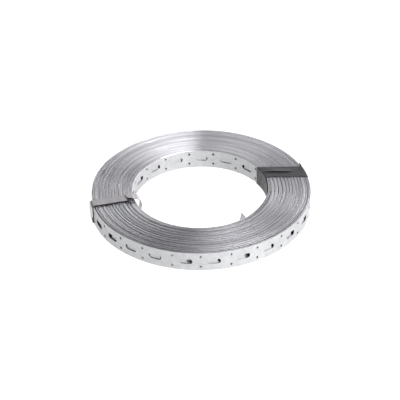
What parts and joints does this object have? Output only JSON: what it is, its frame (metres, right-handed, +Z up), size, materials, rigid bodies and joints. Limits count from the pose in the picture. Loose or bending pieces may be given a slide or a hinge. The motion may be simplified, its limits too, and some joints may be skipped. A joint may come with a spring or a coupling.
{
  "type": "perforated steel strip coil",
  "caption": "Coil of perforated galvanised steel strip lying flat, held by a tie strap and a wrap of dark tape; the strip is unwound and cut to hang or fix things.",
  "frame": {"origin": "on the coil's axis, at the floor under the tie strap and the tape", "axes": "+Z up along the coil's axis, -Y towards the front of the picture, +X to its right"},
  "size_m": [0.2213, 0.22, 0.0212],
  "materials": {
    "strip_steel": "galvanised",
    "strap_steel": "satin",
    "tape": "satin"
  },
  "bodies": {
    "root": {"strip_coil": "strip_steel", "tie_strap": "strap_steel", "tape_wrap": "tape"}
  },
  "joints": []
}
